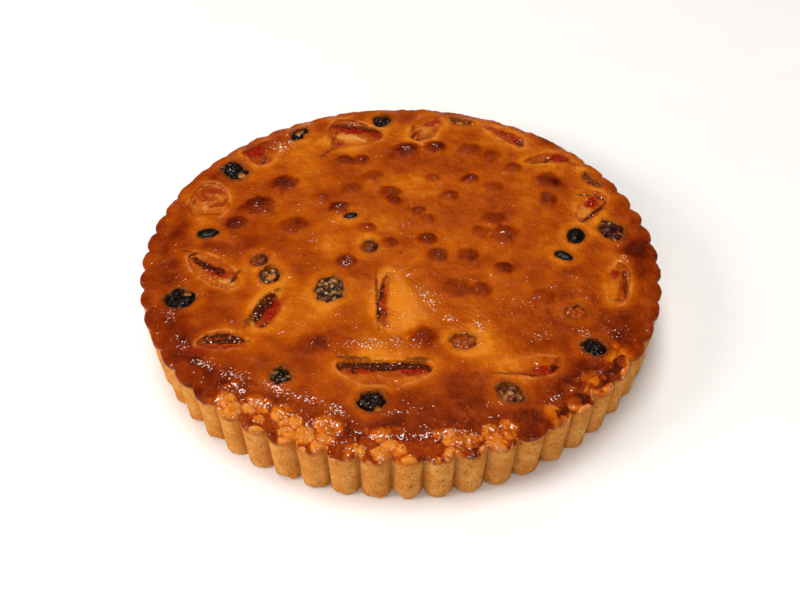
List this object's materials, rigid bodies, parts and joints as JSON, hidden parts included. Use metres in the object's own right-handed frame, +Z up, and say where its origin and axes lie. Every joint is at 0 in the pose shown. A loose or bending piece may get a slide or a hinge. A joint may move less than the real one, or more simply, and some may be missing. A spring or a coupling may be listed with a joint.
{
  "type": "mixed berry pie",
  "caption": "Round open pie in a fluted shortcrust case, filled with glazed golden-brown custard and set with strawberry pieces, dark drupelet berries and blueberries.",
  "frame": {"origin": "under the middle of the case, on the flat base that it stands on", "axes": "+Z up out of the custard, -Y towards the front where the rim's crumb is bare"},
  "size_m": [0.2798, 0.2798, 0.0366],
  "materials": {
    "crust": "dry, sandy baked shortcrust, pale biscuit, golden where its crumb is bare",
    "custard": "glazed baked custard, golden orange with brown blisters and a dark rim",
    "strawberry": "wet baked strawberry, dark red skin and pink to cream flesh",
    "dark_berry": "glossy near-black drupelets with grey-green and beige where split",
    "blueberry": "glossy blue-black skin under a thin film of custard"
  },
  "bodies": {
    "root": {"blueberry_01": "blueberry", "blueberry_02": "blueberry", "blueberry_03": "blueberry", "blueberry_04": "blueberry", "blueberry_05": "blueberry", "blueberry_06": "blueberry", "crust": "crust", "dark_berry_01": "dark_berry", "dark_berry_02": "dark_berry", "dark_berry_03": "dark_berry", "dark_berry_04": "dark_berry", "dark_berry_05": "dark_berry", "dark_berry_06": "dark_berry", "dark_berry_07": "dark_berry", "dark_berry_08": "dark_berry", "dark_berry_09": "dark_berry", "dark_berry_10": "dark_berry", "dark_berry_11": "dark_berry", "dark_berry_12": "dark_berry", "dark_berry_13": "dark_berry", "dark_berry_14": "dark_berry", "dark_berry_15": "dark_berry", "filling": "custard", "strawberry_01": "strawberry", "strawberry_02": "strawberry", "strawberry_03": "strawberry", "strawberry_04": "strawberry", "strawberry_05": "strawberry", "strawberry_06": "strawberry", "strawberry_07": "strawberry", "strawberry_08": "strawberry", "strawberry_09": "strawberry", "strawberry_10": "strawberry", "strawberry_11": "strawberry", "strawberry_12": "strawberry", "strawberry_13": "strawberry", "strawberry_14": "strawberry"}
  },
  "joints": []
}
